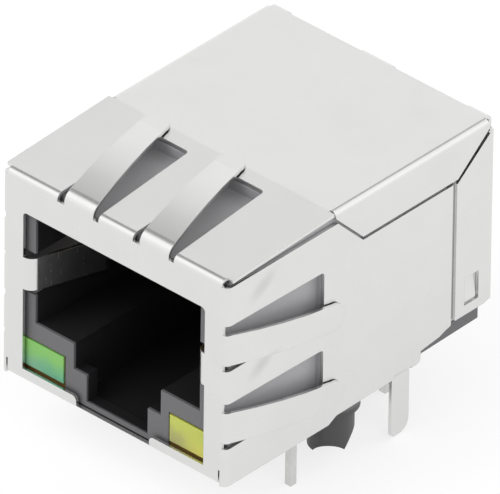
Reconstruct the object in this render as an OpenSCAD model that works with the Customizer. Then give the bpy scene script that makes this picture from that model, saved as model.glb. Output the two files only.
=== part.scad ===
// Shielded single-port board jack with two indicator lamps and built-in magnetics.
//
// The pieces are drawn from the middle of the shield's front bottom edge:
// X across, Y back from the front face, Z up. at_board() then moves them to the
// board frame, whose origin lies on the board midway between the locating pegs.

/* [Shield] */
// Width over the side walls
shell_w = 16; // [15.8:0.1:17]
// Depth from the front face to the rear cover
shell_d = 20.8; // [20.4:0.1:24]
// Height from the bottom edge to the rear part of the roof
shell_h = 13.3; // [13.1:0.1:14.5]
// Thickness of the plated sheet
sheet_t = 0.2; // [0.15:0.01:0.25]
// Outer radius of the folds
bend_r = 0.4; // [0.35:0.05:0.5]
// How much lower the roof is at its front edge
roof_drop = 0.35; // [0.2:0.05:0.5]
// Distance over which the roof rises to its full height
roof_slope = 7.8; // [7:0.1:9]
// Length of the fold under the front
bottom_len = 5.4; // [4:0.1:5.6]
// Gap between the shield and the board
board_gap = 0.25; // [0.2:0.05:0.5]

/* [Front opening] */
// Width of the opening in the front face
opening_w = 12.9; // [12.6:0.1:13.2]
// Height of the bar above the opening
top_bar = 2.25; // [2.15:0.05:2.5]
// Height of the strips below the lamps
strip_h = 0.8; // [0.6:0.05:0.9]
// Width of the gap between the strips
strip_gap = 5.2; // [4.4:0.1:5.6]
// Radius of the opening's top corners
opening_r = 0.25; // [0.2:0.05:0.8]

/* [Spring fingers] */
// Distance between the two roof fingers
roof_pitch = 5.35; // [5:0.05:5.6]
// Shift of the roof fingers from the middle
roof_shift = 0.15; // [-0.2:0.05:0.2]
// Distance between the two fingers of a side
side_pitch = 4.9; // [4.8:0.05:5.2]
// Height of the upper side finger's root
side_root = 8.6; // [8.5:0.05:8.9]
// Width of a roof finger at its root
finger_root = 2.05; // [1.8:0.05:2.2]
// Width of a side finger at its root
side_finger_root = 1.9; // [1.7:0.05:2.1]
// Width of a finger at its tip
finger_tip = 1.6; // [1.4:0.05:1.8]
// Sideways lean of a roof finger over its length
finger_lean = 1.75; // [1.4:0.05:1.9]
// Sideways lean of a side finger over its length
side_finger_lean = 1.65; // [1.4:0.05:1.9]
// Reach of a finger behind the front face
finger_len = 8.5; // [8:0.1:8.8]
// Reach of a roof finger's window behind the front face
window_len = 7.3; // [6.8:0.1:7.5]
// Reach of a side finger's window behind the front face
side_window_len = 7.5; // [6.8:0.1:7.6]
// Slot beside a finger's root
relief_w = 0.36; // [0.25:0.01:0.4]

/* [Housing] */
// Gap between the housing and the shield
shield_fit = 0.05; // [0.03:0.01:0.1]
// Width of the plug cavity
port_w = 11.7; // [11.6:0.1:11.9]
// Depth of the plug cavity
port_d = 12.3; // [12:0.1:12.6]
// Height of the shelf over the lamps, where the plug's body rests
shelf_z = 3.78; // [3.6:0.02:3.9]
// Width of the latch channel
latch_w = 6.2; // [5.8:0.1:6.4]
// Width between the latch stops at the front
latch_neck = 4.35; // [4.2:0.05:4.6]
// Height of the latch stops
stop_z = 2.2; // [2:0.1:2.4]
// Height of the housing's rear skirt above the shield's bottom edge
skirt_z = 0.88; // [0.6:0.02:1.1]

/* [Board side] */
// Distance from the front face to the locating pegs
peg_y = 10; // [9.8:0.1:10.2]
// Distance between the locating pegs
peg_pitch = 12.7; // [12.5:0.05:12.8]
// Diameter of a locating peg
peg_d = 2.5; // [2.2:0.05:2.6]
// Length of a locating peg below the board's top
peg_len = 2.65; // [2.2:0.05:3]
// Length of the pins below the board's top
pin_len = 3.35; // [2.8:0.05:3.6]
// Thickness of the square signal pins
pin_t = 0.46; // [0.4:0.02:0.5]
// Distance between pins that are neighbours across the two rows
pin_pitch = 1.27; // [1.2:0.01:1.3]
// Shift of the signal pins back from the middle of their case
row_shift = 0.1; // [-0.1:0.02:0.2]
// Distance between the two rows
row_gap = 2.54; // [2.4:0.02:2.6]
// Distance from the locating pegs back to the shield's board tabs
tab_back = 3.8; // [3.3:0.1:4]
// Width of a board tab
tab_w = 1.35; // [1.2:0.05:1.6]
// Length of a board tab below the board's top
tab_len = 3.2; // [2.8:0.05:3.4]

/* [Contacts and magnetics] */
// Distance between neighbouring contacts
contact_pitch = 1.02; // [1:0.01:1.03]
// Width of a contact wire
contact_w = 0.36; // [0.3:0.02:0.4]
// Thickness of a contact wire
contact_t = 0.3; // [0.24:0.02:0.32]
// Slope of a contact in the plug cavity, in degrees
contact_slope = 22; // [20:1:24]
// Thickness of the module's circuit board
board_t = 0.8; // [0.6:0.1:0.9]
// Outer diameter of a ring core
core_d = 2.8; // [2.6:0.1:2.9]
// Height of a ring core
core_h = 1.4; // [1.2:0.1:1.8]
// Thickness of the winding on a core
wind_t = 0.25; // [0.2:0.01:0.28]

/* [Lamps] */
// Distance from the middle to a lamp's inner side
lamp_x = 3.7; // [3.6:0.05:3.85]
// Width of a lamp
lamp_w = 3.35; // [3:0.05:3.5]
// Width of a lens
lens_w = 2.95; // [2.8:0.05:3.1]
// Height of a lens
lens_h = 1.66; // [1.6:0.02:1.85]
// Height of a lens's lower edge
lens_z = 0.95; // [0.9:0.05:1]
// Length of a lamp's body
lamp_len = 5; // [4.6:0.1:5.2]
// Distance between the two leads of a lamp
lead_pitch = 2.54; // [2.4:0.02:2.56]
// Thickness of the square leads
lead_t = 0.42; // [0.4:0.01:0.5]

/* [Hidden] */
$fn = 32;
CONTACTS = 8;
PINS = 8;
CORES = 4;
RESISTORS = 4;

// Small gap between pieces that slide into or lie on one another
seat = 0.02;
// Overreach of a cutting shape
over = 1;
half_w = shell_w / 2;

// Roof
roof_tilt = asin(roof_drop / roof_slope);
roof_fold_r = 4;
roof_rise = roof_slope * sin(roof_tilt) + roof_fold_r * (1 - cos(roof_tilt));
front_fold_z = shell_h - roof_rise - bend_r * cos(roof_tilt);
roof_front_y = bend_r * (1 - sin(roof_tilt));
roof_flat_y = roof_front_y + roof_slope * cos(roof_tilt) + roof_fold_r * sin(roof_tilt);
rear_slot_w = 0.35;
rear_low = 1.8;

// Side walls and the roof's side flaps
wall_top = front_fold_z;
opening_top = shell_h - roof_drop - top_bar;
flap_y = roof_flat_y;
flap_run = 2.13;
flap_low = shell_h - 2.55;
flap_gap = 0.2;
wing_y = shell_d - 3.02;
joggle = sheet_t + 0.01;
joggle_turn = 60;
joggle_r = 0.3;
wall_end = shell_d - 0.6;
wall_low = 0.05;
wall_mid_low = 0.42;
tab_mid = peg_y + tab_back;
catch_y = wing_y + 0.75;
catch_w = 0.85;

// Springs that touch the plug's own shield
ground_h = 2;
ground_turn = 72;
ground_reach = 4;
ground_r = 0.7;
ground_hook = 0.6;
ground_z = opening_top - 4.85;

// Finger windows
finger_front_r = 0.7;
finger_rise = 8.5;
finger_fall = 4;
finger_seat = 0.08;
finger_stem = 0.5;
finger_stem_y = 0.4;
finger_flat = 1.25;
blank_w = 8;
side_finger_r = 0.45;
side_finger_rise = 9;
side_finger_fall = 5;
side_finger_more = 0.35;
roof_relief_more = 0.14;
roof_window_fall = 0.3;
side_window_up = 0.6;
side_window_fall = 0.15;
window_r = 0.25;

// Housing
house_w = shell_w - 2 * (sheet_t + shield_fit);
house_front = sheet_t + 0.15;
house_rear = shell_d - sheet_t - 0.25;
house_low = sheet_t + shield_fit;
house_top = shell_h - sheet_t - 2 * shield_fit;
house_drop = roof_drop + 0.02;
roof_wall = 1.73;
port_top = house_top - house_drop - roof_wall;
neck_len = 0.85;
lip_len = 1.15;
floor_z = house_low + 0.2;
lip_z = floor_z + 0.1;
skirt_y = tab_mid + 1.3;
skirt_end = 0.5;
pocket_deep = 0.3;
ground_pocket_d = 6.2;
ground_pocket_w = 1.1;

// Contact carrier
carrier_w = CONTACTS * contact_pitch + 0.7;
carrier_low = port_top + 0.05;
carrier_top = port_top + 1.15;
carrier_front = 2.9;
comb_y = 9.9;
comb_h = 4.3;
comb_low = port_top - comb_h;
back_wall = 0.8;
bay_y = port_d + back_wall;
bay_w = house_w - 1.4;
bay_top = house_top - 0.7;

// Module board and coil case
board_y = bay_y + 0.8;
board_w = bay_w - 1.1;
board_low = 2.2;
board_top = bay_top - 0.2;
case_y = board_y + board_t + 2 * seat;
case_w = bay_w - 0.1;
case_top = bay_top - 0.1;
case_low = skirt_z;
case_rear = house_rear - 0.05;
pin_z = 2.9;
pin_bend = 0.6;
row_mid = (case_y + case_rear) / 2 + row_shift;
cell_y = case_y + 0.9;
cell_in = 0.4;
cell_wall = 0.6;
cell_low = pin_z + 0.4;
cell_top_wall = 0.3;
cell_h = (case_top - cell_low - cell_in - cell_top_wall) / 2;
cell_z = [cell_low, cell_low + cell_h + cell_in];
contact_z = port_top + 0.75;
contact_bend = 0.55;
contact_free = 8.5;
foot = 1.4;
front_foot_x = 4.4;
front_foot_y = peg_y - 1.4;
board_z = -board_gap;
chip_z = (board_low + board_top) / 2;
cap_w = 3.2;
cap_d = 0.6;
cap_h = 1.6;
cap_up = 0.5;
res_w = 1;
res_d = 0.35;
res_h = 0.5;
res_pitch = 1.6;
res_down = 1.75;

// Ends of the locating pegs
peg_shoulder = 0.3;
peg_turn = 40;
peg_tip = 0.15;
peg_arch_r = 1;
peg_arch_h = 0.7;
peg_ramp_x = 0.6;
peg_ramp_rise = 1.3;

// Lamps
lens_front = house_front - 0.05;
lens_in = 0.09;
lens_deep = 0.14;
lamp_low = house_low + 0.2;
lamp_top = lens_z + lens_h + 0.05;
lamp_back = lens_front + lamp_len;
lead_y = lamp_back + 1.3;
lead_z = 1.85;
lead_bend = 0.6;

// Moves a piece from the shield's front bottom edge to the board frame.
module at_board() {
    translate([0, -peg_y, board_gap])
        children();
}

module both_sides() {
    children();
    mirror([1, 0, 0])
        children();
}

// A folded strip, drawn the way it is bent. Each step is ["flat", length],
// ["fold", outer radius, angle], which turns away from the outer face, or
// ["rise", radius, angle], which turns towards it. The strip heads along +X, its
// outer face lies at y = 0, and its width runs up +Z.
module strip(steps, t, w) {
    line = strip_line(steps);
    linear_extrude(w)
        polygon(concat(
            [for (q = line) q[0]],
            [for (k = [len(line) - 1:-1:0]) line[k][0] - t * normal(line[k][1])]
        ));
}

function normal(h) = [-sin(h), cos(h)];

// Points and headings along a strip's outer face.
function strip_line(steps, i = 0, p = [0, 0], h = 0) =
    i == len(steps) ? [[p, h]] :
    steps[i][0] == "flat"
        ? concat([[p, h]], strip_line(steps, i + 1, p + steps[i][1] * [cos(h), sin(h)], h))
        : bend_line(steps, i, p, h, steps[i][0] == "fold" ? 1 : -1);

function bend_line(steps, i, p, h, side) =
    let (
        r = side * steps[i][1],
        turn = side * steps[i][2],
        n = max(4, ceil(steps[i][2] / 12)),
        mid = p - r * normal(h)
    )
    concat(
        [for (k = [0:n - 1]) [mid + r * normal(h - turn * k / n), h - turn * k / n]],
        strip_line(steps, i + 1, mid + r * normal(h - turn), h - turn)
    );

// Turns a strip so that it heads back along +Y with its outer face up.
module lengthwise() {
    rotate([90, 0, 90])
        children();
}

// Turns what is drawn across X and up Z so that it stands across Z and out along +X.
module sideways() {
    rotate([0, 90, 0])
        mirror([1, 0, 0])
            children();
}

// Extrudes an outline of [y, z] points across X, from x0 to x1.
module side_shape(points, x0, x1) {
    translate([x0, 0, 0])
        lengthwise()
            linear_extrude(x1 - x0)
                polygon(points);
}

function arc(cx, cy, r, a0, a1, n = 8) =
    [for (i = [0:n]) [cx + r * cos(a0 + (a1 - a0) * i / n), cy + r * sin(a0 + (a1 - a0) * i / n)]];

// ---------------------------------------------------------------- shield

// Bottom fold, front, roof and rear cover, as one long strip across the full width.
module long_strip() {
    slope_end = roof_flat_y;
    translate([-half_w, bottom_len, 0])
        lengthwise()
            rotate(180)
                strip([
                    ["flat", bottom_len - bend_r],
                    ["fold", bend_r, 90],
                    ["flat", front_fold_z - bend_r],
                    ["fold", bend_r, 90 - roof_tilt],
                    ["flat", roof_slope],
                    ["fold", roof_fold_r, roof_tilt],
                    ["flat", shell_d - bend_r - slope_end],
                    ["fold", bend_r, 90],
                    ["flat", shell_h - bend_r - rear_low]
                ], sheet_t, shell_w);
}

// Height of the flap's slanting front edge gives its distance from the front.
function flap_edge(z) =
    flap_y + flap_run * (shell_h - bend_r - z) / (shell_h - bend_r - flap_low);

// Outline of a side wall, seen from the side, with the notch where its board tab is bent.
function wall_outline() = concat(
    [[0, wall_low], [peg_y - 2, wall_low], [peg_y - 1.4, wall_mid_low - 0.05]],
    [[tab_mid - tab_w / 2 - 0.05, wall_mid_low], [tab_mid - tab_w / 2 - 0.05, 0.62]],
    [[tab_mid - tab_w / 2 + 0.1, 0.72], [tab_mid + tab_w / 2 - 0.35, 0.78]],
    [[tab_mid + tab_w / 2, 0.5]],
    arc(tab_mid + 1.02, 0.8, 0.3, -90, 0, 6),
    [[tab_mid + 1.34, 1.2], [wing_y - 1.2, 1.38], [wing_y - 0.7, 1.57]],
    [[wing_y + 0.1, rear_low - 0.05], [wing_y + 0.1, rear_low + 0.2], [wall_end, rear_low + 0.2]],
    [[wall_end, flap_low - flap_gap - 0.3], [wing_y, flap_low - flap_gap]],
    [[flap_edge(flap_low - flap_gap) - flap_gap, flap_low - flap_gap]],
    [[flap_edge(wall_top) - flap_gap, wall_top]],
    [[0, wall_top]]
);

// Right side wall: folded back from the front and stepped in under the rear wing.
module side_wall() {
    inner_r = joggle_r - sheet_t;
    step_flat = (joggle - (joggle_r + inner_r) * (1 - cos(joggle_turn))) / sin(joggle_turn);
    step_y = (joggle_r + inner_r) * sin(joggle_turn) + step_flat * cos(joggle_turn);
    intersection() {
        translate([half_w - bend_r, 0, shell_h])
            rotate([180, 0, 0])
                strip([
                    ["fold", bend_r, 90],
                    ["flat", wing_y - 0.06 - step_y - bend_r],
                    ["fold", joggle_r, joggle_turn],
                    ["flat", step_flat],
                    ["rise", inner_r, joggle_turn],
                    ["flat", 4]
                ], sheet_t, shell_h);
        side_shape(wall_outline(), half_w - 2, half_w + 1);
    }
}

// Side flap of the roof, folded down level with the side wall.
module flap() {
    intersection() {
        translate([half_w - bend_r, flap_y + shell_d, shell_h])
            rotate([90, 0, 0])
                strip([["fold", bend_r, 90], ["flat", 3]], sheet_t, shell_d);
        side_shape([
            [flap_y, shell_h + over],
            [flap_y, shell_h - bend_r],
            [flap_y + flap_run, flap_low],
            [wing_y + 0.05, flap_low],
            [shell_d - 0.55, shell_h - 0.5],
            [shell_d - 0.55, shell_h + over]
        ], half_w - bend_r, half_w + 1);
    }
}

// Rear wing: folded forward from the rear cover over the end of the side wall.
module wing() {
    intersection() {
        translate([half_w - bend_r, shell_d, 0])
            strip([["fold", bend_r, 90], ["flat", 3]], sheet_t, shell_h);
        side_shape(concat(
            [[wing_y, rear_low], [wing_y, flap_low - flap_gap - 0.1]],
            [[wing_y + 0.15, flap_low - flap_gap], [shell_d - 0.5, shell_h - 0.85]],
            [[shell_d + over, shell_h - 0.85], [shell_d + over, rear_low + 0.1]],
            [[shell_d - 0.45, rear_low + 0.1], [shell_d - 0.75, rear_low]]
        ), half_w - 2, half_w + 1);
        difference() {
            cube([2 * half_w, 2 * shell_d, shell_h]);
            translate([half_w - 1, catch_y - 0.04, rear_low + 0.6])
                cube([2, catch_w + 0.25, 1.75]);
        }
    }
}

// Wedge pressed out of the side wall, which holds the wing.
module wing_catch() {
    out = half_w - joggle;
    translate([0, catch_y, rear_low + 0.78])
        rotate([90, 0, 0])
            mirror([0, 0, 1])
                linear_extrude(catch_w)
                    polygon([
                        [out - sheet_t / 2, 0],
                        [half_w - 0.03, 0],
                        [half_w - 0.03, 0.2],
                        [out, 1.4],
                        [out - sheet_t / 2, 1.4]
                    ]);
}

// Tab that is soldered into the board, set in from the side wall.
module board_tab() {
    set_in = 0.2;
    tip_z = -board_gap - tab_len;
    turn = 40;
    step_r = 0.4;
    step_flat = (set_in - (2 * step_r - sheet_t) * (1 - cos(turn))) / sin(turn);
    intersection() {
        translate([half_w, tab_mid + 2, 1.6])
            rotate([90, 90, 0])
                strip([
                    ["flat", 0.85],
                    ["fold", step_r, turn],
                    ["flat", step_flat],
                    ["rise", step_r - sheet_t, turn],
                    ["flat", 6]
                ], sheet_t, 4);
        side_shape(concat(
            [[tab_mid + tab_w / 2, 1.5]],
            [[tab_mid - tab_w / 2, 1.5]],
            arc(tab_mid - tab_w / 2 + 0.3, tip_z + 0.3, 0.3, 180, 270, 6),
            arc(tab_mid + tab_w / 2 - 0.75, tip_z + 0.75, 0.75, 270, 360, 6)
        ), half_w - 1, half_w + 1);
    }
}

// Spring finger in its own frame: root at the origin, reach along +X, bow along +Y,
// width along Z. It leaves the front face, arches back and rests its flat tip.
module finger(r, rise, fall, reach, root_w, lean) {
    arch_len = reach - finger_flat - r * (1 - sin(rise));
    arch_r = arch_len / (sin(rise) + sin(fall));
    height = r * cos(rise) + arch_r * (cos(fall) - cos(rise));
    intersection() {
        translate([0, sheet_t + finger_seat - height - finger_stem, -blank_w / 2])
            rotate(90)
                strip([
                    ["flat", finger_stem],
                    ["fold", r, 90 - rise],
                    ["fold", arch_r, rise + fall],
                    ["rise", 0.6, fall],
                    ["flat", finger_flat + 1]
                ], sheet_t, blank_w);
        rotate([90, 0, 0])
            translate([0, 0, -3])
                linear_extrude(6)
                    finger_outline(reach - finger_tip / 2, root_w, lean);
    }
}

module finger_outline(tip_x, root_w, lean) {
    polygon([
        [-over, -root_w / 2],
        [finger_stem_y, -root_w / 2],
        [tip_x, -lean - finger_tip / 2],
        [tip_x, -lean + finger_tip / 2],
        [finger_stem_y, root_w / 2],
        [-over, root_w / 2]
    ]);
    translate([tip_x, -lean])
        circle(d = finger_tip);
}

function roof_roots() = [for (s = [-1, 1]) roof_shift + s * roof_pitch / 2];
function side_roots() = [side_root, side_root - side_pitch];

// Cutter for a finger's window, with the finger's root at its origin. low and near
// are its half widths at the root, far the one at its end.
module window(low, near, far, len) {
    linear_extrude(3)
        polygon(concat(
            [[-low, len], [-low, -over], [near, -over], [near, 0.5]],
            arc(far - window_r, len - window_r, window_r, 0, 90, 4)
        ));
}

module roof_window() {
    near = finger_root / 2 + relief_w;
    window(near + roof_relief_more, near, near - roof_window_fall, window_len);
}

module side_window() {
    low = side_finger_root / 2 + relief_w;
    near = side_finger_root / 2 + side_window_up;
    sideways()
        window(low, near, near - side_window_fall, side_window_len);
}

// Roof finger at its place across the roof.
module roof_finger(x) {
    height = shell_h - roof_drop * (1 - (finger_len - 0.6) / roof_slope);
    translate([x, 0, height])
        lengthwise()
            finger(finger_front_r, finger_rise, finger_fall, finger_len, finger_root, finger_lean);
}

// Finger of the right side wall.
module side_finger(z) {
    reach = finger_len + side_finger_more;
    translate([half_w, 0, z])
        mirror([1, -1, 0])
            finger(side_finger_r, side_finger_rise, side_finger_fall, reach,
                side_finger_root, side_finger_lean);
}

// Spring that is folded back into the port from the opening's edge.
module ground_spring() {
    tuck = 1;
    translate([opening_w / 2 + tuck, 0, ground_z])
        rotate(180)
            strip([
                ["flat", tuck],
                ["fold", ground_r, ground_turn],
                ["flat", ground_reach],
                ["fold", 0.5, 42],
                ["flat", ground_hook]
            ], sheet_t, ground_h);
}

// Front opening, with the gap between the strips and the notches beside the fold.
module front_cuts() {
    half_o = opening_w / 2;
    translate([0, over, 0])
        rotate([90, 0, 0])
            linear_extrude(2 * over)
                polygon(concat(
                    [[half_o, strip_h]],
                    arc(half_o - opening_r, opening_top - opening_r, opening_r, 0, 90, 6),
                    arc(-half_o + opening_r, opening_top - opening_r, opening_r, 90, 180, 6),
                    [[-half_o, strip_h]],
                    arc(-strip_gap / 2 - 0.3, strip_h - 0.3, 0.3, 90, 0, 5),
                    [[-strip_gap / 2, sheet_t], [strip_gap / 2, sheet_t]],
                    arc(strip_gap / 2 + 0.3, strip_h - 0.3, 0.3, 180, 90, 5)
                ));
}

module shield() {
    fold_end = half_w - bend_r;
    difference() {
        union() {
            difference() {
                long_strip();
                front_cuts();
                // side edges, where the walls take over from the front and the roof
                both_sides() {
                    translate([fold_end, -over, -over])
                        cube([over, over + bend_r + 0.05, shell_h + 2 * over]);
                    translate([fold_end - 0.15, -over, -over])
                        cube([0.2, over + 0.45, over + 0.3]);
                    translate([fold_end - 0.1, -over, -over])
                        cube([over, over + bottom_len + 1, over + 1]);
                    translate([fold_end, flap_y - 0.15, shell_h - over])
                        cube([over, shell_d, 2 * over]);
                    translate([fold_end, shell_d - bend_r - over, -over])
                        cube([over, 3 * over, shell_h + 2 * over]);
                }
                rear_slots();
            }
            both_sides() {
                side_wall();
                flap();
                wing();
                wing_catch();
                board_tab();
                ground_spring();
            }
        }
        for (x = roof_roots())
            translate([x, 0, front_fold_z - 0.05])
                roof_window();
        both_sides()
            for (z = side_roots())
                translate([half_w - bend_r + 0.1, 0, z])
                    side_window();
    }
    for (x = roof_roots())
        roof_finger(x);
    both_sides()
        for (z = side_roots())
            side_finger(z);
}

// Slots along the rear fold, which leave three short bridges.
module rear_slots() {
    bridges = [-7.15, -0.25, 6.85];
    bridge_w = [1.2, 2.2, 1.2];
    for (i = [0:1]) {
        x0 = bridges[i] + bridge_w[i] / 2;
        x1 = bridges[i + 1] - bridge_w[i + 1] / 2;
        translate([x0, shell_d - rear_slot_w, shell_h - bend_r])
            cube([x1 - x0, over, over]);
    }
}

// ---------------------------------------------------------------- housing

module housing() {
    difference() {
        union() {
            housing_block();
            pegs();
        }
        port_cavity();
        lamp_pockets();
        finger_pockets();
        carrier_pocket();
        rear_bay();
        sheet_steps();
    }
    housing_feet();
}

module housing_block() {
    side_shape([
        [house_front, house_low],
        [skirt_y - 0.3, house_low],
        [skirt_y, skirt_z - 0.1],
        [house_rear - skirt_end, skirt_z],
        [house_rear - skirt_end, rear_low - 0.1],
        [house_rear, rear_low - 0.1],
        [house_rear, house_top],
        [roof_flat_y, house_top],
        [house_front, house_top - house_drop]
    ], -house_w / 2, house_w / 2);
}

// Two pegs that locate the jack in the board. Each has an arched notch and a ramp
// in its end.
module pegs() {
    both_sides()
        translate([peg_pitch / 2, peg_y, board_z]) {
            difference() {
                translate([0, 0, -peg_len]) {
                    cylinder(h = peg_tip, d1 = peg_d - 2 * peg_tip, d2 = peg_d);
                    translate([0, 0, peg_tip])
                        cylinder(h = peg_len - peg_tip, d = peg_d);
                }
                translate([0, 0, -peg_len])
                    peg_end_cut();
            }
            cylinder(h = house_low + 0.2 - board_z, d = peg_d + 2 * peg_shoulder);
        }
}

module peg_end_cut() {
    rotate([90, 0, peg_turn])
        translate([0, 0, -peg_d])
            linear_extrude(2 * peg_d) {
                translate([0, peg_arch_h - peg_arch_r])
                    circle(peg_arch_r);
                polygon([[peg_ramp_x, 0], [peg_d / 2, peg_ramp_rise], [peg_d, 0], [peg_d, -over], [0, -over]]);
            }
}

module housing_feet() {
    both_sides()
        translate([front_foot_x, front_foot_y, board_z])
            translate([-foot / 2, -foot / 2, 0])
                cube([foot, foot, house_low - board_z + 0.1]);
}

module port_cavity() {
    // space for the plug's body
    translate([-port_w / 2, -over, shelf_z])
        cube([port_w, port_d + over, port_top - shelf_z]);
    // channel for the plug's latch
    translate([-latch_w / 2, -over, stop_z])
        cube([latch_w, port_d - 1 + over, shelf_z - stop_z + 0.1]);
    translate([-latch_neck / 2, -over, lip_z])
        cube([latch_neck, over + 3, stop_z]);
    translate([-latch_w / 2, house_front + neck_len, floor_z])
        cube([latch_w, port_d - 2, stop_z]);
    translate([-latch_neck / 2, house_front + lip_len, floor_z])
        cube([latch_neck, 2, stop_z]);
    // recesses for the springs at the sides
    both_sides()
        translate([port_w / 2 - 0.1, -over, ground_z - 0.3])
            cube([ground_pocket_w + 0.1, ground_pocket_d + over, ground_h + 0.6]);
}

module lamp_pockets() {
    both_sides() {
        translate([lamp_x - seat, -over, lamp_low - seat])
            cube([lamp_w + 2 * seat, over + lamp_back + seat, lamp_top - lamp_low + 2 * seat]);
        for (x = lead_xs())
            translate([x - lead_t / 2 - 0.05, lamp_back - 0.1, -over])
                cube([lead_t + 0.1, lead_y - lamp_back + lead_t, over + lead_z + 0.1]);
    }
}

module finger_pockets() {
    for (x = roof_roots())
        translate([x, 0, house_top - house_drop - pocket_deep])
            roof_window();
    both_sides()
        for (z = side_roots())
            translate([house_w / 2 - pocket_deep, 0, z])
                side_window();
}

// Recess in the roof of the port and window in its back wall, for the carrier.
module carrier_pocket() {
    w = carrier_w + 0.1;
    translate([-w / 2, carrier_front - 1.3, port_top - 0.1])
        cube([w, bay_y, carrier_top - port_top + 0.15]);
    translate([-w / 2, port_d - 0.1, comb_low - 0.05])
        cube([w, back_wall + 0.2, carrier_top - comb_low + 0.1]);
}

// Steps where the side walls and the board tabs are set in.
module sheet_steps() {
    both_sides() {
        translate([house_w / 2 - joggle - 0.02, wing_y - 0.55, rear_low - 0.15])
            cube([over, shell_d, shell_h]);
        translate([house_w / 2 - 0.35, tab_mid - tab_w / 2 - 0.2, -over])
            cube([over, tab_w + 0.4, over + 0.95]);
    }
}

module rear_bay() {
    translate([-bay_w / 2, bay_y, -over])
        cube([bay_w, shell_d, over + bay_top]);
}

// ---------------------------------------------------------------- contacts

function contact_x(i) = (i - (CONTACTS + 1) / 2) * contact_pitch;

// Contact wire: from the module board forward along the port's roof, round a
// hairpin and back down into the port. grow widens it for the carrier's grooves.
module contact_strip(grow = 0) {
    tail_y = board_y + board_t;
    w = contact_w + 2 * grow;
    translate([-w / 2, tail_y, contact_z + grow])
        lengthwise()
            rotate(180)
                mirror([0, 1, 0])
                    strip([
                        ["flat", tail_y - carrier_front],
                        ["fold", contact_bend + grow, 180 - contact_slope],
                        ["flat", contact_free]
                    ], contact_t + 2 * grow, w);
}

module contact(i) {
    translate([contact_x(i), 0, 0])
        contact_strip();
}

module contact_carrier() {
    back_y = port_d + 0.05;
    difference() {
        union() {
            translate([-carrier_w / 2, carrier_front, carrier_low])
                cube([carrier_w, bay_y - carrier_front + 0.2, carrier_top - carrier_low]);
            translate([-carrier_w / 2, back_y, comb_low])
                cube([carrier_w, back_wall, carrier_top - comb_low]);
            for (i = [0:CONTACTS])
                translate([contact_x(i + 0.5) - 0.22, comb_y, comb_low])
                    cube([0.44, back_y - comb_y + 0.1, carrier_low - comb_low + 0.1]);
        }
        for (i = [1:CONTACTS])
            translate([contact_x(i), 0, 0])
                translate([-contact_w / 2 - seat, 0, contact_z - contact_t - seat])
                    cube([contact_w + 2 * seat, shell_d, contact_t + 2 * seat]);
    }
}

// ---------------------------------------------------------------- magnetics

function pin_x(i) = ((PINS + 1) / 2 - i) * pin_pitch;
function pin_y(i) = row_mid + (i % 2 == 1 ? -1 : 1) * row_gap / 2;

// Signal pin: from the module board back through the coil case and down.
module pin_strip(i, grow = 0) {
    start_y = board_y;
    w = pin_t + 2 * grow;
    translate([pin_x(i) - w / 2, start_y, pin_z + grow])
        lengthwise()
            strip([
                ["flat", pin_y(i) + pin_t / 2 - pin_bend - start_y],
                ["fold", pin_bend + grow, 90],
                ["flat", pin_z - pin_bend - board_z + pin_len]
            ], w, w);
}

module module_board() {
    difference() {
        translate([-board_w / 2, board_y, board_low])
            cube([board_w, board_t, board_top - board_low]);
        for (i = [1:CONTACTS])
            translate([contact_x(i), board_y - over, contact_z - contact_t / 2])
                rotate([-90, 0, 0])
                    cylinder(h = 3 * over, d = 0.56);
        for (i = [1:PINS])
            translate([pin_x(i), board_y - over, pin_z - pin_t / 2])
                rotate([-90, 0, 0])
                    cylinder(h = 3 * over, d = 0.78);
    }
}

module coil_case() {
    cell_w = case_w / 2 - cell_in - cell_wall;
    difference() {
        union() {
            translate([-case_w / 2, case_y, case_low])
                cube([case_w, case_rear - case_y, case_top - case_low]);
            both_sides()
                translate([case_w / 2 - foot, case_rear - 1, board_z])
                    translate([-foot / 2, -foot / 2, 0])
                        cube([foot, foot, case_low - board_z + 0.1]);
        }
        both_sides()
            for (z = cell_z)
                translate([cell_in, cell_y, z])
                    cube([cell_w, shell_d, cell_h]);
        for (i = [1:PINS])
            pin_strip(i, seat);
    }
}

function core_pos(i) = [
    (i % 2 == 1 ? -1 : 1) * (cell_in + (case_w / 2 - cell_wall)) / 2,
    cell_y + core_h / 2 + wind_t + 2 * seat,
    cell_z[floor((i - 1) / 2)] + core_d / 2 + wind_t + 2 * seat
];

// Places a ring with its axis lengthwise in its cell.
module in_cell(i) {
    translate(core_pos(i))
        rotate([90, 0, 0])
            children();
}

function core_hole() = core_d / 4;

module core(i) {
    in_cell(i)
        rotate_extrude()
            translate([core_hole(), -core_h / 2])
                square([core_d / 2 - core_hole(), core_h]);
}

// Winding: a sleeve of wire round the ring's section, open over a short stretch.
module winding(i) {
    in_cell(i)
        rotate(110)
            rotate_extrude(angle = 320)
                difference() {
                    translate([core_hole() - wind_t, -core_h / 2 - wind_t])
                        square([core_d / 2 - core_hole() + 2 * wind_t, core_h + 2 * wind_t]);
                    translate([core_hole() - seat, -core_h / 2 - seat])
                        square([core_d / 2 - core_hole() + 2 * seat, core_h + 2 * seat]);
                }
}

// Chip with metal ends, flat on the front of the module board.
module chip(x, z, size) {
    translate([x - size[0] / 2, board_y - size[1], z - size[2] / 2])
        cube(size);
}

// ---------------------------------------------------------------- lamps

function lead_xs() = [for (s = [-1, 1]) lamp_x + lamp_w / 2 + s * lead_pitch / 2];

// Lamp body with a lens that fills the front of its pocket.
module lamp() {
    difference() {
        union() {
            translate([lamp_x + lens_in, lens_front, lens_z])
                cube([lens_w, lens_deep + 0.1, lens_h]);
            translate([lamp_x, lens_front + lens_deep, lamp_low])
                cube([lamp_w, lamp_len - lens_deep, lamp_top - lamp_low]);
        }
        for (x = lead_xs())
            translate([x - lead_t / 2 - seat, lamp_back - 1, lead_z - lead_t - seat])
                cube([lead_t + 2 * seat, 2, lead_t + 2 * seat]);
    }
}

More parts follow.
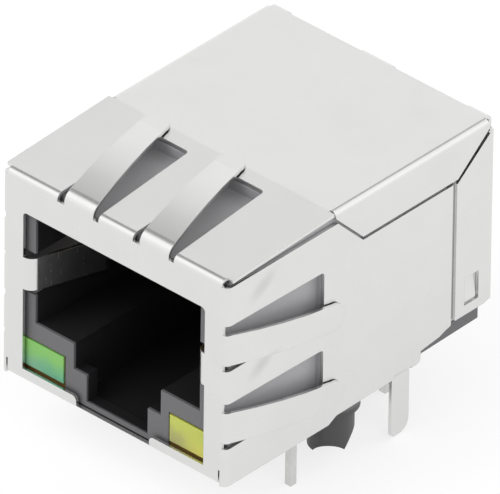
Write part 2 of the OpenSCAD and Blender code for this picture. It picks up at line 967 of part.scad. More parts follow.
// Lead: out of the back of the lamp and down through the board.
module lead(x) {
    start_y = lamp_back - 1 + seat;
    translate([x - lead_t / 2, start_y, lead_z])
        lengthwise()
            strip([
                ["flat", lead_y + lead_t / 2 - lead_bend - start_y],
                ["fold", lead_bend, 90],
                ["flat", lead_z - lead_bend - board_z + pin_len]
            ], lead_t, lead_t);
}

// ---------------------------------------------------------------- the part

color("silver")
        at_board()
            shield();
color("dimgray")
        at_board()
            housing();
color("darkslategray")
        at_board()
            contact_carrier();
color("seagreen")
        at_board()
            module_board();
color("gray")
        at_board()
            coil_case();
for (i = [1:CONTACTS])
    color("gold")
            at_board()
                contact(i);
for (i = [1:PINS])
    color("lightgray")
            at_board()
                pin_strip(i);
color("limegreen")  // led_green
        at_board()
            mirror([1, 0, 0])
                lamp();
color("gold")  // led_yellow
        at_board()
            lamp();
for (i = [1:4])
    color("lightgray")
            at_board()
                mirror([i < 3 ? 1 : 0, 0, 0])
                    lead(lead_xs()[i % 2]);
for (i = [1:CORES])
    color("darkgreen")
            at_board()
                core(i);
for (i = [1:CORES])
    color("peru")
            at_board()
                winding(i);
color("burlywood")  // capacitor
        at_board()
            chip(0, chip_z + cap_up, [cap_w, cap_d, cap_h]);
for (i = [1:RESISTORS])
    color("black")
            at_board()
                chip((i - (RESISTORS + 1) / 2) * res_pitch, chip_z - res_down, [res_w, res_d, res_h]);
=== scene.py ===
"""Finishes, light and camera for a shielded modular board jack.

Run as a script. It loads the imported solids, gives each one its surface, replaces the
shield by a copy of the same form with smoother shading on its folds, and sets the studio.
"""

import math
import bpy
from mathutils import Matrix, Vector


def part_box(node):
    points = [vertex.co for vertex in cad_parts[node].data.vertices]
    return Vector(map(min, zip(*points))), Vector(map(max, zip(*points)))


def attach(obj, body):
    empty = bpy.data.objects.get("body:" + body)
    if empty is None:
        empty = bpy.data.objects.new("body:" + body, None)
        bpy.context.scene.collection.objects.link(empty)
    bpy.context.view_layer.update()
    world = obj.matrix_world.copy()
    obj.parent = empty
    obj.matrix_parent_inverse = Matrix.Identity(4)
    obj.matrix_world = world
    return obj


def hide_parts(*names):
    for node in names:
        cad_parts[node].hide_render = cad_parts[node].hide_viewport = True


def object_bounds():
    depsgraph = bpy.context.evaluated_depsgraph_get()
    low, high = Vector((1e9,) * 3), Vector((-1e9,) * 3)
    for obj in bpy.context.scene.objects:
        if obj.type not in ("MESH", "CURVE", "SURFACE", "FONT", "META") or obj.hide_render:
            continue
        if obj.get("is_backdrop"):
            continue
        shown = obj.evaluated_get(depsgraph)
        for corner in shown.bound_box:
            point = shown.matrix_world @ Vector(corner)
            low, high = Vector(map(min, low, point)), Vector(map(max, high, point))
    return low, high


bl_info = {
    "name": "Modular Board Jack",
    "version": (1, 0, 0),
    "blender": (4, 5, 0),
    "location": "View3D > Sidebar > Board Jack",
    "description": "Builds the surfaces, the studio light and the camera for a shielded board jack",
    "category": "Object",
}

import bmesh
import bpy
from bpy.props import FloatProperty, FloatVectorProperty, PointerProperty
from mathutils import Matrix, Vector

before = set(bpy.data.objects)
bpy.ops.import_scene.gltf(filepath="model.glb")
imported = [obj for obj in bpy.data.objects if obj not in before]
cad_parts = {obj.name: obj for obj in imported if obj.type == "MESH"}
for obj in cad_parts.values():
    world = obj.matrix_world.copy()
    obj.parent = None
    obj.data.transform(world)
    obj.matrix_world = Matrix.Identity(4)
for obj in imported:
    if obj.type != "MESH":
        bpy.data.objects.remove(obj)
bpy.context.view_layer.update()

MM = 0.001
# lowest point of the shield, at its board tabs, in millimetres from the board
SHIELD_LOW = -3.2


# ------------------------------------------------------------------ values


def linear(code):
    """Turns an sRGB hex colour into linear red, green and blue."""
    parts = [int(code[i : i + 2], 16) / 255 for i in (1, 3, 5)]
    return [p / 12.92 if p <= 0.04045 else ((p + 0.055) / 1.055) ** 2.4 for p in parts]


def colour(name, description, code):
    return FloatVectorProperty(
        name=name, description=description, subtype="COLOR", size=3, min=0, max=1, default=linear(code)
    )


def amount(name, description, default, low=0.0, high=1.0):
    return FloatProperty(name=name, description=description, default=default, min=low, max=high, subtype="FACTOR")


def length(name, description, millimetres):
    return FloatProperty(
        name=name, description=description, default=millimetres * MM, min=0, unit="LENGTH", precision=5
    )


class MetalSettings(bpy.types.PropertyGroup):
    nickel: colour("Nickel", "Colour of the satin nickel plating on the shield", "#E4E4E3")
    nickel_roughness: amount("Nickel roughness", "Roughness of the satin plating", 0.25)
    grain: length("Rolled grain", "Width of a streak that rolling leaves in the sheet", 0.06)
    edge: length("Edge rounding", "Radius that tumbling leaves on a cut edge", 0.035)
    gold: colour("Gold", "Colour of the thin gold plating on the contacts", "#E8C170")
    tin: colour("Tin", "Colour of the bright tin on pins and leads", "#DADAD8")


class PlasticSettings(bpy.types.PropertyGroup):
    housing: colour("Housing", "Colour of the glass-filled polyester of the housing", "#A2A2A4")
    # Painted shade: darker copy of the housing colour for the front faces, the pegs and the housing's lower part.
    front: colour("Front", "Colour of the smoother front faces and pegs", "#5C5C5E")
    # Painted shade: near-black colour for the faces inside the port, where little light reaches, also used for the
    # contact carrier and the coil case.
    cavity_shade: colour("Cavity", "Colour of the polished mould core's faces inside the port", "#1C1C1E")
    roughness: amount("Roughness", "Roughness of the moulded faces", 0.42)
    pit: length("Texture size", "Size of the fine texture that the mould leaves", 0.09)


class LampSettings(bpy.types.PropertyGroup):
    green_left: colour("Green left", "Colour of the green lens at its left", "#6C9E7C")
    green_right: colour("Green right", "Colour of the green lens at its right", "#529A76")
    green_top: colour("Green top", "Colour of the green lens where light enters at its top", "#74B056")
    yellow_left: colour("Yellow left", "Colour of the yellow lens at its left", "#9A9A58")
    yellow_right: colour("Yellow right", "Colour of the yellow lens at its right", "#C2BE48")
    yellow_top: colour("Yellow top", "Colour of the yellow lens where light enters at its top", "#AEB64A")
    flange: colour("Flange", "Colour of the clear resin behind and below a lens", "#7A6034")


class StageSettings(bpy.types.PropertyGroup):
    floor: colour("Floor", "Colour of the plain floor", "#FFFFFF")
    shadow: amount("Shadow", "Share of the floor's look that takes shade", 0.22)
    lens_distance: FloatProperty(
        name="Camera distance", description="Distance from the jack to the camera", default=1.2316, unit="LENGTH"
    )


# ------------------------------------------------------------------ node and mesh helpers


def add(tree, kind, inputs=None, **settings):
    """Adds a shader node, sets its options and its inputs; an input may be a socket."""
    node = tree.nodes.new(kind)
    for key, value in settings.items():
        setattr(node, key, value)
    for key, value in (inputs or {}).items():
        socket = node.inputs[key]
        if isinstance(value, bpy.types.NodeSocket):
            tree.links.new(value, socket)
        else:
            socket.default_value = value
    return node


def rgba(value):
    return (*value, 1.0)


def material(name):
    """Makes an empty node material and returns it with its tree and its output."""
    made = bpy.data.materials.new(name)
    made.use_nodes = True
    tree = made.node_tree
    tree.nodes.clear()
    return made, tree, add(tree, "ShaderNodeOutputMaterial")


def finish_node(names, made):
    """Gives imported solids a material."""
    for name in names:
        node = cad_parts[name]
        node.data.materials.clear()
        node.data.materials.append(made)


def names_of(start):
    return sorted(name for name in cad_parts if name.startswith(start))


# ------------------------------------------------------------------ materials


def nickel_plate(name, tint, roughness, grain, edge, dent_shades):
    """Satin nickel on rolled brass sheet: even pale metal with soft, broad reflections,
    faint streaks from rolling, small clouds in the plating, bright rounded cut edges and
    painted shade that darkens narrow gaps. Each dent is a y and a z where the press pulled a side wall in; there a soft
    patch of painted shade stands in for the dent's darker reflection."""
    made, tree, out = material(name)
    place = add(tree, "ShaderNodeTexCoord").outputs["Object"]
    streak_space = add(tree, "ShaderNodeMapping", {"Vector": place, "Scale": (1 / grain, 1 / grain, 0.06 / grain)})
    streaks = add(tree, "ShaderNodeTexNoise", {"Vector": streak_space.outputs[0], "Scale": 1.0, "Detail": 3.0})
    clouds = add(tree, "ShaderNodeTexNoise", {"Vector": place, "Scale": 1 / (2.5 * MM), "Detail": 2.0})
    grit = add(tree, "ShaderNodeTexNoise", {"Vector": place, "Scale": 1 / (0.05 * MM), "Detail": 2.0})
    shade = add(
        tree, "ShaderNodeMix",
        {"Factor": clouds.outputs[0], "A": rgba([c * 0.97 for c in tint]), "B": rgba([min(1, c * 1.03) for c in tint])},
        data_type="RGBA",
    )
    polish = add(
        tree, "ShaderNodeMapRange",
        {"Value": streaks.outputs[0], "To Min": roughness - 0.04, "To Max": roughness + 0.05},
    )
    # Painted shade: where other surfaces come within 0.16 mm, in narrow gaps, slots and round the fingertips, the
    # colour darkens.
    narrow = add(tree, "ShaderNodeAmbientOcclusion", {"Distance": 0.16 * MM}, samples=6)
    painted_shade = add(
        tree, "ShaderNodeMapRange",
        {"Value": narrow.outputs["AO"], "From Min": 0.35, "From Max": 0.8, "To Min": 0.45, "To Max": 0.0},
    )
    axes = add(tree, "ShaderNodeSeparateXYZ", {"Vector": place})
    # Painted shade: a soft dark patch round each dent stands in for the dent's darker reflection.
    for dent_shade_y, dent_shade_z in dent_shades:
        along = add(tree, "ShaderNodeMath", {0: axes.outputs["Y"], 1: dent_shade_y}, operation="SUBTRACT")
        rise = add(tree, "ShaderNodeMath", {0: axes.outputs["Z"], 1: dent_shade_z}, operation="SUBTRACT")
        lean = add(
            tree, "ShaderNodeMath", {0: along.outputs[0], 1: -0.45, 2: rise.outputs[0]}, operation="MULTIPLY_ADD"
        )
        spot = add(
            tree, "ShaderNodeCombineXYZ",
            {"X": along.outputs[0], "Y": lean.outputs[0]},
        )
        reach = add(
            tree, "ShaderNodeVectorMath",
            {0: spot.outputs[0], 1: (1 / (1.4 * MM), 1 / (0.8 * MM), 0)}, operation="MULTIPLY",
        )
        reach = add(tree, "ShaderNodeVectorMath", {0: reach.outputs[0]}, operation="LENGTH")
        dent_shade = add(
            tree, "ShaderNodeMapRange",
            {"Value": reach.outputs["Value"], "To Min": 0.22, "To Max": 0.0}, interpolation_type="SMOOTHSTEP",
        )
        painted_shade = add(tree, "ShaderNodeMath", {0: painted_shade.outputs[0], 1: dent_shade.outputs[0]}, operation="ADD")
    # Painted shade: the gaps and the dent patches mix the plating's colour towards a third of its tint.
    shade = add(
        tree, "ShaderNodeMix",
        {"Factor": painted_shade.outputs[0], "A": shade.outputs["Result"], "B": rgba([c * 0.3 for c in tint])},
        data_type="RGBA",
    )
    rounding = add(tree, "ShaderNodeBevel", {"Radius": edge}, samples=6)
    relief = add(
        tree, "ShaderNodeBump",
        {"Height": grit.outputs[0], "Strength": 0.25, "Distance": 0.003 * MM, "Normal": rounding.outputs[0]},
    )
    surface = add(
        tree, "ShaderNodeBsdfPrincipled",
        {
            "Base Color": shade.outputs["Result"],
            "Metallic": 1.0,
            "Roughness": polish.outputs[0],
            "Normal": relief.outputs[0],
        },
    )
    tree.links.new(surface.outputs[0], out.inputs["Surface"])
    return made


def bright_metal(name, tint, roughness, edge):
    """Thin electroplate on drawn wire: brighter and smoother than the sheet, with fine
    lengthwise drawing lines and a little unevenness."""
    made, tree, out = material(name)
    place = add(tree, "ShaderNodeTexCoord").outputs["Object"]
    lines_space = add(tree, "ShaderNodeMapping", {"Vector": place, "Scale": (25000, 25000, 900)})
    lines = add(tree, "ShaderNodeTexNoise", {"Vector": lines_space.outputs[0], "Scale": 1.0, "Detail": 2.0})
    clouds = add(tree, "ShaderNodeTexNoise", {"Vector": place, "Scale": 1 / (0.8 * MM), "Detail": 2.0})
    shade = add(
        tree, "ShaderNodeMix",
        {"Factor": clouds.outputs[0], "A": rgba([c * 0.86 for c in tint]), "B": rgba([min(1, c * 1.08) for c in tint])},
        data_type="RGBA",
    )
    polish = add(
        tree, "ShaderNodeMapRange",
        {"Value": lines.outputs[0], "To Min": roughness - 0.05, "To Max": roughness + 0.08},
    )
    rounding = add(tree, "ShaderNodeBevel", {"Radius": edge}, samples=6)
    relief = add(
        tree, "ShaderNodeBump",
        {"Height": lines.outputs[0], "Strength": 0.3, "Distance": 0.004 * MM, "Normal": rounding.outputs[0]},
    )
    surface = add(
        tree, "ShaderNodeBsdfPrincipled",
        {
            "Base Color": shade.outputs["Result"],
            "Metallic": 1.0,
            "Roughness": polish.outputs[0],
            "Normal": relief.outputs[0],
        },
    )
    tree.links.new(surface.outputs[0], out.inputs["Surface"])
    return made


def within(tree, place, low, high, fade):
    """Factor that is 1 inside a box and fades to 0 over a short distance outside it."""
    axes = add(tree, "ShaderNodeSeparateXYZ", {"Vector": place})
    factor = 1.0
    for i, axis in enumerate("XYZ"):
        middle, half = (low[i] + high[i]) / 2, (high[i] - low[i]) / 2
        away = add(tree, "ShaderNodeMath", {0: axes.outputs[axis], 1: middle}, operation="SUBTRACT")
        away = add(tree, "ShaderNodeMath", {0: away.outputs[0]}, operation="ABSOLUTE")
        inside = add(
            tree, "ShaderNodeMapRange",
            {"Value": away.outputs[0], "From Min": half, "From Max": half + fade, "To Min": 1.0, "To Max": 0.0},
        )
        factor = add(
            tree, "ShaderNodeMath", {0: inside.outputs[0], 1: factor}, operation="MULTIPLY"
        ).outputs[0]
    return factor


def moulded_polyester(name, tint, roughness, pit, edge, shade_zones=()):
    """Glass-filled polyester from an eroded mould: low sheen, with a fine dry texture,
    short pale fibre marks and slightly worn corners. Each zone is a colour and a box
    of painted shade: inside the box the faces take the darker colour, where less light falls."""
    made, tree, out = material(name)
    place = add(tree, "ShaderNodeTexCoord").outputs["Object"]
    pits = add(tree, "ShaderNodeTexNoise", {"Vector": place, "Scale": 1 / pit, "Detail": 3.0})
    fibres = add(tree, "ShaderNodeTexVoronoi", {"Vector": place, "Scale": 1 / (0.16 * MM)}, feature="F1")
    flecks = add(
        tree, "ShaderNodeMapRange",
        {"Value": fibres.outputs["Distance"], "From Min": 0.0, "From Max": 0.22, "To Min": 0.35, "To Max": 0.0},
    )
    shade = add(
        tree, "ShaderNodeMix",
        {
            "Factor": flecks.outputs[0],
            "A": rgba(tint),
            "B": rgba([min(1, c * 1.9 + 0.01) for c in tint]),
        },
        data_type="RGBA",
    )
    # Painted shade: each zone darkens its box of the moulding.
    for shade_tint, shade_low, shade_high in shade_zones:
        shade = add(
            tree, "ShaderNodeMix",
            {
                "Factor": within(tree, place, shade_low, shade_high, 0.05 * MM),
                "A": shade.outputs["Result"],
                "B": rgba(shade_tint),
            },
            data_type="RGBA",
        )
    polish = add(
        tree, "ShaderNodeMapRange",
        {"Value": pits.outputs[0], "To Min": roughness - 0.08, "To Max": roughness + 0.12},
    )
    rounding = add(tree, "ShaderNodeBevel", {"Radius": edge}, samples=6)
    relief = add(
        tree, "ShaderNodeBump",
        {"Height": pits.outputs[0], "Strength": 0.35, "Distance": 0.01 * MM, "Normal": rounding.outputs[0]},
    )
    surface = add(
        tree, "ShaderNodeBsdfPrincipled",
        {
            "Base Color": shade.outputs["Result"],
            "Roughness": polish.outputs[0],
            "IOR": 1.55,
            "Normal": relief.outputs[0],
        },
    )
    tree.links.new(surface.outputs[0], out.inputs["Surface"])
    return made


def tinted_resin(name, left, right, top, flange, box):
    """Cast epoxy with a diffusing dye: a glossy skin over a cloudy tint that changes
    across the lens, a lighter band where light enters at its top, and brownish clear
    resin behind and below it."""
    made, tree, out = material(name)
    low, high = box
    place = add(tree, "ShaderNodeTexCoord").outputs["Object"]
    across = add(tree, "ShaderNodeSeparateXYZ", {"Vector": place})
    cloud = add(tree, "ShaderNodeTexNoise", {"Vector": place, "Scale": 1 / (1.1 * MM), "Detail": 2.0})
    drift = add(
        tree, "ShaderNodeMapRange", {"Value": cloud.outputs[0], "To Min": -0.45 * MM, "To Max": 0.45 * MM}
    )
    x = add(tree, "ShaderNodeMath", {0: across.outputs["X"], 1: drift.outputs[0]}, operation="ADD")
    z = add(tree, "ShaderNodeMath", {0: across.outputs["Z"], 1: drift.outputs[0]}, operation="ADD")
    fade = add(
        tree, "ShaderNodeMapRange",
        {"Value": x.outputs[0], "From Min": low[0] + 0.4 * MM, "From Max": high[0] - 0.6 * MM},
        interpolation_type="SMOOTHSTEP",
    )
    tint = add(
        tree, "ShaderNodeMix",
        {"Factor": fade.outputs[0], "A": rgba(left), "B": rgba(right)},
        data_type="RGBA",
    )
    band = add(
        tree, "ShaderNodeMapRange",
        {
            "Value": z.outputs[0],
            "From Min": high[2] - 1.6 * MM,
            "From Max": high[2] - 0.4 * MM,
        },
        interpolation_type="SMOOTHSTEP",
    )
    lens = add(
        tree, "ShaderNodeMix",
        {"Factor": band.outputs[0], "A": tint.outputs["Result"], "B": rgba(top)},
        data_type="RGBA",
    )
    behind = add(
        tree, "ShaderNodeMapRange",
        {"Value": across.outputs["Y"], "From Min": low[1] + 0.08 * MM, "From Max": low[1] + 0.13 * MM},
    )
    whole = add(
        tree, "ShaderNodeMix",
        {"Factor": behind.outputs[0], "A": lens.outputs["Result"], "B": rgba(flange)},
        data_type="RGBA",
    )
    surface = add(
        tree, "ShaderNodeBsdfPrincipled",
        {
            "Base Color": whole.outputs["Result"],
            "Roughness": 0.3,
            "IOR": 1.54,
            "Subsurface Weight": 0.15,
            "Subsurface Scale": 0.3 * MM,
        },
    )
    tree.links.new(surface.outputs[0], out.inputs["Surface"])
    return made


def floor_paper(name, tint, shade_share):
    """Matt white paper under even studio light. Most of what is seen of it or mirrored
    from it is its even white, and the rest is shaded, so that the shadow stays faint."""
    made, tree, out = material(name)
    path = add(tree, "ShaderNodeLightPath")
    seen = add(
        tree, "ShaderNodeMath",
        {0: path.outputs["Is Camera Ray"], 1: path.outputs["Is Glossy Ray"]}, operation="MAXIMUM",
    )
    seen = add(
        tree, "ShaderNodeMath", {0: seen.outputs[0], 1: path.outputs["Is Transmission Ray"]}, operation="MAXIMUM"
    )
    share = add(tree, "ShaderNodeMapRange", {"Value": seen.outputs[0], "To Min": 0.0, "To Max": 1 - shade_share})
    shaded = add(
        tree, "ShaderNodeBsdfPrincipled",
        {"Base Color": rgba(tint), "Roughness": 0.9, "Specular IOR Level": 0.1},
    )
    level = add(tree, "ShaderNodeMapRange", {"Value": path.outputs["Is Glossy Ray"], "To Min": 1.0, "To Max": 0.9})
    even = add(tree, "ShaderNodeEmission", {"Color": rgba(tint), "Strength": level.outputs[0]})
    surface = add(
        tree, "ShaderNodeMixShader", {0: share.outputs[0], 1: shaded.outputs[0], 2: even.outputs[0]}
    )
    tree.links.new(surface.outputs[0], out.inputs["Surface"])
    return made


# ------------------------------------------------------------------ pieces


def smooth_copy(node_name, piece_name, crease_degrees):
    """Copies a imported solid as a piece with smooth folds, flat walls and crisp cut edges:
    each corner leans to the faces round it by their area."""
    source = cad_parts[node_name]
    mesh = source.data.copy()
    mesh.name = piece_name
    work = bmesh.new()
    work.from_mesh(mesh)
    bmesh.ops.remove_doubles(work, verts=work.verts, dist=0.0005 * MM)
    bmesh.ops.dissolve_limit(work, angle_limit=math.radians(0.4), verts=work.verts, edges=work.edges)
    limit = math.cos(math.radians(crease_degrees))
    normals = []
    for face in work.faces:
        face.smooth = True
        for corner in face.loops:
            total = Vector()
            for other in corner.vert.link_faces:
                if other.normal.dot(face.normal) > limit:
                    total += other.normal * other.calc_area()
            normals.append(total.normalized())
    for edge in work.edges:
        two = len(edge.link_faces) == 2
        edge.smooth = two and edge.link_faces[0].normal.dot(edge.link_faces[1].normal) > limit
    work.to_mesh(mesh)
    work.free()
    mesh.normals_split_custom_set(normals)
    piece = bpy.data.objects.new(piece_name, mesh)
    bpy.context.collection.objects.link(piece)
    return piece


class JACK_OT_shield(bpy.types.Operator):
    """Makes the folded shield with smooth bends, rounded edges and its satin plating"""

    bl_idname = "jack.shield"
    bl_label = "Shield"

    def execute(self, context):
        metal = context.scene.jack_metal
        low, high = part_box("shield")
        # Painted shade: two soft dark patches on each side wall, above the finger windows, stand in for the darker
        # reflection of shallow dents.
        dent_shade_y = low[1] + 2.75 * MM
        dent_shades = [(dent_shade_y, low[2] + (window_z - SHIELD_LOW) * MM) for window_z in (11.75, 6.85)]
        made = nickel_plate(
            "satin_nickel_on_brass", metal.nickel, metal.nickel_roughness, metal.grain, metal.edge, dent_shades
        )
        piece = smooth_copy("shield", "folded_shield", 24)
        piece.data.materials.clear()
        piece.data.materials.append(made)
        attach(piece, "root")
        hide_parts("shield")
        return {"FINISHED"}


class JACK_OT_mouldings(bpy.types.Operator):
    """Finishes the housing, the contact carrier and the coil case as moulded plastic"""

    bl_idname = "jack.mouldings"
    bl_label = "Mouldings"

    def execute(self, context):
        plastic = context.scene.jack_plastic
        edge = 0.06 * MM
        low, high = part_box("housing")
        middle = (low[0] + high[0]) / 2
        port_front = low[1] + 0.1 * MM
        # Painted shade: the front faces and the pegs take darker copies of the housing colour, and the faces inside the
        # port a near-black one, where less light reaches; the housing below 2.2 mm takes the front colour too.
        front = (plastic.front, low, (high[0], port_front, high[2]))
        skirt_shade = (plastic.front, low, (high[0], high[1], 2.2 * MM))
        pegs = ([c * 0.45 for c in plastic.front], low, (high[0], high[1], 0.3 * MM))
        port = (
            plastic.cavity_shade,
            (middle - 5.95 * MM, port_front + 0.06 * MM, 0.7 * MM),
            (middle + 5.95 * MM, low[1] + 13 * MM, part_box("contact_carrier")[1][2]),
        )
        finish_node(
            ["housing"],
            moulded_polyester("moulded_polyester", plastic.housing, plastic.roughness, plastic.pit, edge, (skirt_shade, front, pegs, port)),
        )
        # The contact carrier and the coil case take the port's near-black painted shade colour.
        finish_node(
            ["contact_carrier", "coil_case"],
            moulded_polyester(
                "moulded_polyester_dark", plastic.cavity_shade, plastic.roughness, plastic.pit, edge
            ),
        )
        return {"FINISHED"}


class JACK_OT_contacts(bpy.types.Operator):
    """Gives the contact wires their gold"""

    bl_idname = "jack.contacts"
    bl_label = "Contacts"

    def execute(self, context):
        made = bright_metal("gold_on_spring_bronze", context.scene.jack_metal.gold, 0.22, 0.04 * MM)
        finish_node(names_of("contact_")[:-1], made)
        return {"FINISHED"}


class JACK_OT_pins(bpy.types.Operator):
    """Gives the signal pins and the lamps' leads their tin"""

    bl_idname = "jack.pins"
    bl_label = "Pins and Leads"

    def execute(self, context):
        made = bright_metal("bright_tin_on_wire", context.scene.jack_metal.tin, 0.25, 0.05 * MM)
        finish_node(names_of("signal_pin_") + names_of("led_lead_"), made)
        return {"FINISHED"}


class JACK_OT_lamps(bpy.types.Operator):
    """Tints the two lamps"""

    bl_idname = "jack.lamps"
    bl_label = "Lamps"

    def execute(self, context):
        lamp = context.scene.jack_lamp
        for name, left, right, top in (
            ("led_green", lamp.green_left, lamp.green_right, lamp.green_top),
            ("led_yellow", lamp.yellow_left, lamp.yellow_right, lamp.yellow_top),
        ):
            made = tinted_resin(name.replace("led", "cast_resin"), left, right, top, lamp.flange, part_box(name))
            finish_node([name], made)
        return {"FINISHED"}


class JACK_OT_magnetics(bpy.types.Operator):
    """Finishes the module board, the ring cores, their windings and the chips"""

    bl_idname = "jack.magnetics"
    bl_label = "Magnetics"

    def execute(self, context):
        edge = 0.05 * MM
        finish_node(
            ["module_board"],
            moulded_polyester("lacquered_laminate", linear("#1F6B3A"), 0.35, 0.2 * MM, edge),
        )
        finish_node(
            names_of("core_"), moulded_polyester("coated_ferrite", linear("#2C3A30"), 0.5, 0.1 * MM, edge)
        )
        finish_node(names_of("winding_"), bright_metal("lacquered_copper_wire", linear("#B8683A"), 0.3, edge))
        finish_node(
            ["capacitor"] + names_of("resistor_"),
            moulded_polyester("fired_ceramic_chip", linear("#8A6E52"), 0.4, 0.1 * MM, edge),
        )
        return {"FINISHED"}


class JACK_OT_stage(bpy.types.Operator):
    """Sets the floor, the soft light and the camera"""

    bl_idname = "jack.stage"
    bl_label = "Stage"

    def execute(self, context):
        settings = context.scene.jack_stage
        low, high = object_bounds()
        half = 1.5
        mesh = bpy.data.meshes.new("floor")
        mesh.from_pydata(
            [(-half, -half, low[2]), (half, -half, low[2]), (half, half, low[2]), (-half, half, low[2])],
            [],
            [(0, 1, 2, 3)],
        )
        floor = bpy.data.objects.new("floor", mesh)
        context.collection.objects.link(floor)
        mesh.materials.append(floor_paper("white_paper", settings.floor, settings.shadow))
        floor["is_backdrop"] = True
        sky(context.scene)
        aim = Vector((0, 0.0005, 0.0065))
        softbox(context, "key", aim, azimuth=-35, elevation=48, distance=0.6, size=0.35, watts=1.6)
        softbox(context, "fill", aim, azimuth=75, elevation=35, distance=0.7, size=0.4, watts=0.9)
        softbox(context, "back", aim, azimuth=150, elevation=40, distance=0.7, size=0.3, watts=0.8)
        camera(context, settings.lens_distance)
        context.scene.view_settings.view_transform = "Standard"
        return {"FINISHED"}


def direction(azimuth, elevation):
    """Unit vector towards a place round the jack: azimuth 0 is in front, 90 at its right."""
    a, e = math.radians(azimuth), math.radians(elevation)
    return Vector((math.sin(a) * math.cos(e), -math.cos(a) * math.cos(e), math.sin(e)))


def softbox(context, name, aim, azimuth, elevation, distance, size, watts):
    data = bpy.data.lights.new(name, "AREA")
    data.shape = "SQUARE"
    data.size = size
    data.energy = watts
    lamp = bpy.data.objects.new(name, data)
    lamp.location = aim + direction(azimuth, elevation) * distance
    lamp.rotation_euler = (lamp.location - aim).to_track_quat("Z", "Y").to_euler()
    lamp.visible_glossy = False
    context.collection.objects.link(lamp)


def towards(tree, heading, aim, start, end):
    """Factor that rises as a direction comes close to aim; start and end are cosines."""
    near = add(tree, "ShaderNodeVectorMath", {0: heading, 1: aim.normalized()}, operation="DOT_PRODUCT")
    return add(
        tree, "ShaderNodeMapRange",
        {"Value": near.outputs["Value"], "From Min": start, "From Max": end},
        interpolation_type="SMOOTHSTEP",
    ).outputs[0]


def sky(scene):
    """White studio: white where it is seen, lower where it only lights. Where metal
    mirrors it, a dark flag hangs high at the left rear and two panels glow a little,
    which draws the spring fingers and the folds."""
    world = bpy.data.worlds.new("studio")
    scene.world = world
    world.use_nodes = True
    tree = world.node_tree
    tree.nodes.clear()
    heading = add(tree, "ShaderNodeTexCoord").outputs["Generated"]
    level = add(tree, "ShaderNodeVectorMath", {0: heading, 1: (1, 1, 0)}, operation="MULTIPLY")
    level = add(tree, "ShaderNodeVectorMath", {0: level.outputs[0]}, operation="NORMALIZE").outputs[0]
    height = add(tree, "ShaderNodeSeparateXYZ", {"Vector": heading}).outputs["Z"]
    flag = towards(tree, level, Vector((-0.823, 0.567, 0)), 0.5, 0.8)
    for lower, upper, first, last in (
        (math.sin(math.radians(41)), math.sin(math.radians(46)), 0.0, 1.0),
        (math.sin(math.radians(60)), math.sin(math.radians(66)), 1.0, 0.0),
    ):
        part = add(
            tree, "ShaderNodeMapRange",
            {"Value": height, "From Min": lower, "From Max": upper, "To Min": first, "To Max": last},
        )
        flag = add(tree, "ShaderNodeMath", {0: flag, 1: part.outputs[0]}, operation="MULTIPLY").outputs[0]
    mirrored = add(tree, "ShaderNodeMath", {0: flag, 1: -0.8, 2: 1.06}, operation="MULTIPLY_ADD").outputs[0]
    for aim, gain in ((Vector((-0.555, -0.563, 0.612)), 0.2), (Vector((0.563, 0.612, 0.555)), 0.15)):
        glow = towards(tree, heading, aim, 0.92, 0.995)
        mirrored = add(
            tree, "ShaderNodeMath", {0: glow, 1: gain, 2: mirrored}, operation="MULTIPLY_ADD"
        ).outputs[0]
    path = add(tree, "ShaderNodeLightPath")
    strength = add(
        tree, "ShaderNodeMix", {"Factor": path.outputs["Is Glossy Ray"], "A": 0.75, "B": mirrored}
    ).outputs["Result"]
    white = add(
        tree, "ShaderNodeMath",
        {0: path.outputs["Is Camera Ray"], 1: path.outputs["Is Transmission Ray"]}, operation="MAXIMUM",
    )
    strength = add(
        tree, "ShaderNodeMix", {"Factor": white.outputs[0], "A": strength, "B": 1.0}
    ).outputs["Result"]
    back = add(tree, "ShaderNodeBackground", {"Color": (1, 1, 1, 1), "Strength": strength})
    add(tree, "ShaderNodeOutputWorld", {"Surface": back.outputs[0]})


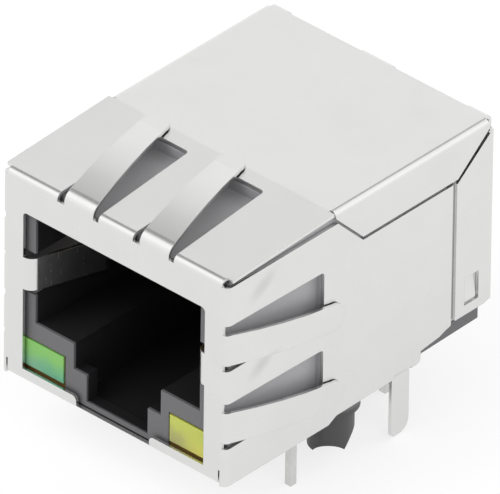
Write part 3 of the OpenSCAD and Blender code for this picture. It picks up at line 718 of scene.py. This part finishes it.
def camera(context, distance):
    """Camera with a very long lens in front of the jack's right corner, above it."""
    back = direction(42.21, 34.29)
    right = Vector((0, 0, 1)).cross(back).normalized()
    up = back.cross(right)
    roll = math.radians(0.76)
    right, up = (
        math.cos(roll) * right + math.sin(roll) * up,
        -math.sin(roll) * right + math.cos(roll) * up,
    )
    data = bpy.data.cameras.new("camera")
    view = bpy.data.objects.new("camera", data)
    context.collection.objects.link(view)
    data.sensor_width = 36
    data.lens = 36 * 19.097 * (1000 * distance) / 500
    data.clip_start = 0.1
    data.clip_end = 20
    view.location = Vector((0, 0.0005, 0.00675)) + 0.0000126 * right - 0.000134 * up + back * distance
    axes = Matrix((right, up, back)).transposed()
    view.rotation_euler = axes.to_euler()
    context.scene.camera = view


class JACK_PT_panel(bpy.types.Panel):
    """Lists the jack's pieces and their settings"""

    bl_idname = "JACK_PT_panel"
    bl_label = "Board Jack"
    bl_space_type = "VIEW_3D"
    bl_region_type = "UI"
    bl_category = "Board Jack"

    def draw(self, context):
        for step in STEPS:
            self.layout.operator(step.bl_idname)
        for key, group in GROUPS.items():
            box = self.layout.box()
            for name in group.__annotations__:
                box.prop(getattr(context.scene, key), name)


GROUPS = {
    "jack_metal": MetalSettings,
    "jack_plastic": PlasticSettings,
    "jack_lamp": LampSettings,
    "jack_stage": StageSettings,
}
STEPS = [
    JACK_OT_shield,
    JACK_OT_mouldings,
    JACK_OT_contacts,
    JACK_OT_pins,
    JACK_OT_lamps,
    JACK_OT_magnetics,
    JACK_OT_stage,
]


def register():
    for group in GROUPS.values():
        bpy.utils.register_class(group)
    for key, group in GROUPS.items():
        setattr(bpy.types.Scene, key, PointerProperty(type=group))
    for step in STEPS + [JACK_PT_panel]:
        bpy.utils.register_class(step)


def unregister():
    for step in reversed(STEPS + [JACK_PT_panel]):
        bpy.utils.unregister_class(step)
    for key in GROUPS:
        delattr(bpy.types.Scene, key)
    for group in reversed(GROUPS.values()):
        bpy.utils.unregister_class(group)


def main():
    register()
    bpy.ops.jack.shield()
    bpy.ops.jack.mouldings()
    bpy.ops.jack.contacts()
    bpy.ops.jack.pins()
    bpy.ops.jack.lamps()
    bpy.ops.jack.magnetics()
    bpy.ops.jack.stage()


if __name__ == "__main__":
    main()
